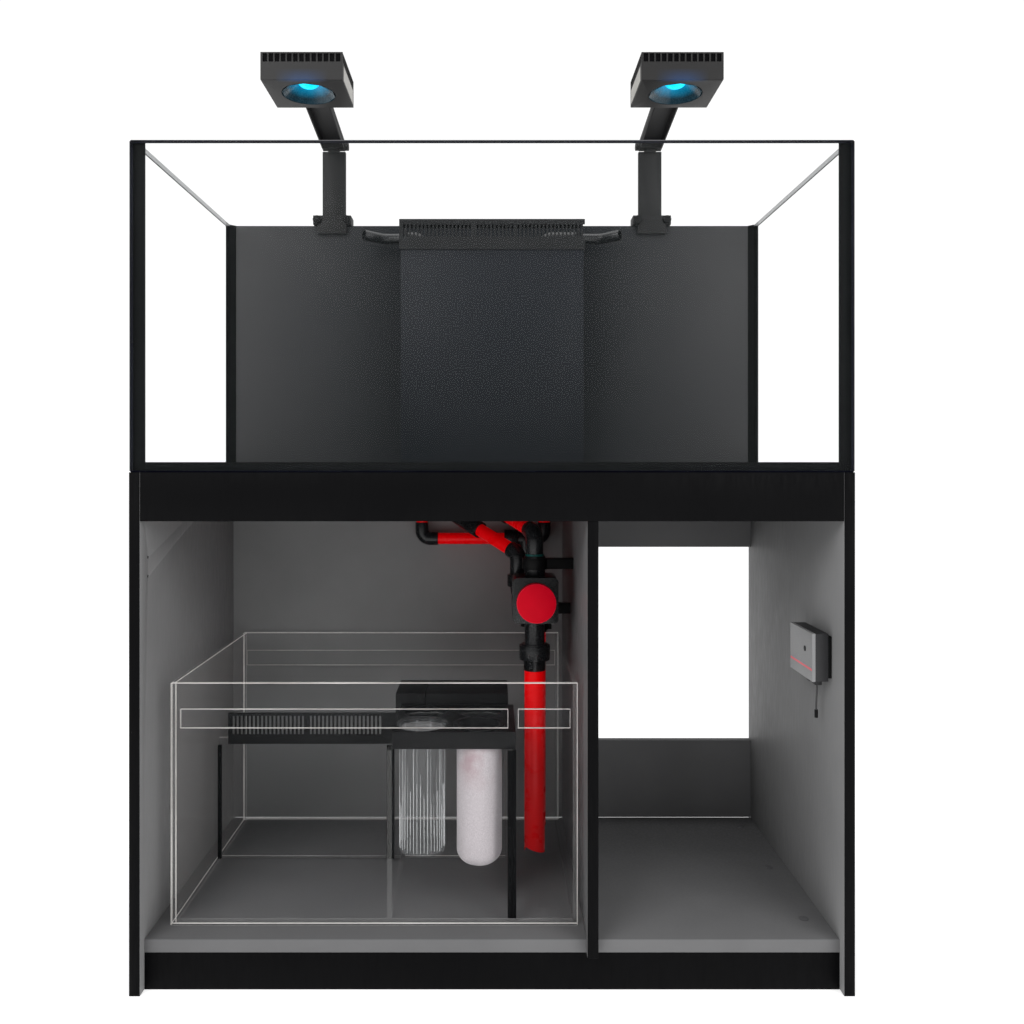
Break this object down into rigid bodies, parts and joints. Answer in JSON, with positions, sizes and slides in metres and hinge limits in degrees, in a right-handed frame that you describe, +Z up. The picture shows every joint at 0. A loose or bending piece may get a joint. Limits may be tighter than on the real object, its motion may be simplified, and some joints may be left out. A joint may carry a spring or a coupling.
{
  "type": "aquarium on stand",
  "caption": "Glass display tank with rear overflow box and arm lamps on its rim, on an open cabinet that holds a glass sump, drain and return pipes, and a wall controller.",
  "frame": {"origin": "on the floor, at the centre of the cabinet's footprint", "axes": "+Z up, +X to the right seen from the front, +Y towards the back"},
  "size_m": [1.2, 0.592, 1.656],
  "materials": {
    "cabinet_black": "satin black laminate",
    "laminate_grey": "matt grey laminate",
    "cap_plastic": "matt",
    "clear_glass": "polished",
    "dark_glass": "satin, back-painted",
    "silicone": "satin",
    "black_plastic": "moulded",
    "black_fitting": "moulded, slightly glossy",
    "red_pipe": "extruded, satin gloss",
    "teal_seal": "satin",
    "red_knob": "satin",
    "sump_glass": "polished, bright edges",
    "clear_plastic": "moulded clear",
    "felt": "needle felt",
    "lamp_metal": "fine matt texture",
    "lamp_lens": "lit",
    "case_grey": "matt",
    "cover_grey": "matt",
    "lead_black": "matt"
  },
  "bodies": {
    "stand": {"back_panel_left": "laminate_grey", "back_rails_right": "laminate_grey", "cam_lock_caps": "cap_plastic", "centre_divider": "cabinet_black", "controller_bracket": "black_plastic", "controller_case": "case_grey", "controller_cover": "cover_grey", "controller_lead": "lead_black", "drain_cross_pipes": "red_pipe", "drain_fittings": "black_fitting", "drain_seal_ring": "teal_seal", "floor_bulkheads": "black_fitting", "floor_panel": "laminate_grey", "front_fascia": "cabinet_black", "lamp_clamp_left": "lamp_metal", "lamp_clamp_right": "lamp_metal", "lamp_clamp_screws": "black_plastic", "lead_connector": "black_plastic", "main_downpipe": "red_pipe", "overflow_box": "dark_glass", "overflow_standpipes": "red_pipe", "pipe_clips": "black_plastic", "plinth_boards": "cabinet_black", "return_fittings": "black_fitting", "return_pipes": "red_pipe", "side_panel_left": "cabinet_black", "side_panel_right": "cabinet_black", "sump_bottom_pane": "sump_glass", "sump_braces": "sump_glass", "sump_edge_seals": "silicone", "sump_partitions": "sump_glass", "sump_walls": "sump_glass", "tank_back_pane": "dark_glass", "tank_bottom_pane": "dark_glass", "tank_front_pane": "clear_glass", "tank_seams": "silicone", "tank_side_panes": "clear_glass", "top_panel": "cabinet_black", "valve_body": "black_fitting"},
    "overflow_comb": {"overflow_comb": "black_plastic"},
    "weir_comb": {"weir_comb": "black_plastic"},
    "tray": {"filter_tray": "black_plastic"},
    "covers": {"tray_covers": "black_plastic"},
    "cup": {"media_cup": "clear_plastic"},
    "sock": {"sock_ring": "black_plastic", "filter_sock": "felt"},
    "union_nut": {"union_nut": "black_fitting"},
    "gate": {"valve_gate": "black_fitting"},
    "knob": {"valve_knob": "red_knob"},
    "button": {"controller_button": "black_plastic"},
    "nozzle_left": {"return_nozzle_left": "black_fitting"},
    "post_left": {"lamp_post_left": "lamp_metal"},
    "arm_left": {"lamp_arm_left": "lamp_metal", "lamp_housing_left": "lamp_metal", "lamp_lens_left": "lamp_lens"},
    "nozzle_right": {"return_nozzle_right": "black_fitting"},
    "post_right": {"lamp_post_right": "lamp_metal"},
    "arm_right": {"lamp_arm_right": "lamp_metal", "lamp_housing_right": "lamp_metal", "lamp_lens_right": "lamp_lens"}
  },
  "joints": [
    {"name": "overflow_comb_lift", "type": "slide", "parent": "stand", "child": "overflow_comb", "axis": [0, 0, 1], "range_m": [0, 0.08]},
    {"name": "weir_comb_lift", "type": "slide", "parent": "stand", "child": "weir_comb", "axis": [0, 0, 1], "range_m": [0, 0.03]},
    {"name": "tray_lift", "type": "slide", "parent": "stand", "child": "tray", "axis": [0, 0, 1], "range_m": [0, 0.12]},
    {"name": "covers_lift", "type": "slide", "parent": "stand", "child": "covers", "axis": [0, 0, 1], "range_m": [0, 0.08]},
    {"name": "cup_lift", "type": "slide", "parent": "tray", "child": "cup", "axis": [0, 0, 1], "range_m": [0, 0.23]},
    {"name": "sock_lift", "type": "slide", "parent": "tray", "child": "sock", "axis": [0, 0, 1], "range_m": [0, 0.25]},
    {"name": "union_nut_turn", "type": "hinge", "parent": "stand", "child": "union_nut", "pos_m": [0.083, -0.0095, 0.513], "axis": [0, 0, 1], "range_deg": [0, 720]},
    {"name": "valve_knob_turn", "type": "hinge", "parent": "stand", "child": "knob", "pos_m": [0.083, -0.0765, 0.6185], "axis": [0, 1, 0], "range_deg": [-900, 900]},
    {"name": "valve_gate_slide", "type": "slide", "parent": "stand", "child": "gate", "axis": [0, 1, 0], "range_m": [-0.0131, 0.0131]},
    {"name": "button_press", "type": "slide", "parent": "stand", "child": "button", "axis": [1, 0, 0], "range_m": [0, 0.0015], "stiffness_N_per_m": 300},
    {"name": "nozzle_turn_left", "type": "hinge", "parent": "stand", "child": "nozzle_left", "pos_m": [-0.197, 0.2345, 1.376], "axis": [1, 0, 0], "range_deg": [-60, 60]},
    {"name": "post_height_left", "type": "slide", "parent": "stand", "child": "post_left", "axis": [0, 0, 1], "range_m": [-0.12, 0.02]},
    {"name": "arm_tilt_left", "type": "hinge", "parent": "post_left", "child": "arm_left", "pos_m": [-0.359, 0.2919, 1.6], "axis": [1, 0, 0], "range_deg": [-25, 10]},
    {"name": "nozzle_turn_right", "type": "hinge", "parent": "stand", "child": "nozzle_right", "pos_m": [0.197, 0.2345, 1.376], "axis": [1, 0, 0], "range_deg": [-60, 60]},
    {"name": "post_height_right", "type": "slide", "parent": "stand", "child": "post_right", "axis": [0, 0, 1], "range_m": [-0.12, 0.02]},
    {"name": "arm_tilt_right", "type": "hinge", "parent": "post_right", "child": "arm_right", "pos_m": [0.359, 0.2919, 1.6], "axis": [1, 0, 0], "range_deg": [-25, 10]}
  ],
  "couplings": [
    {"joint": "valve_gate_slide", "follows": "valve_knob_turn", "m_per_rad": 0.00082761}
  ]
}
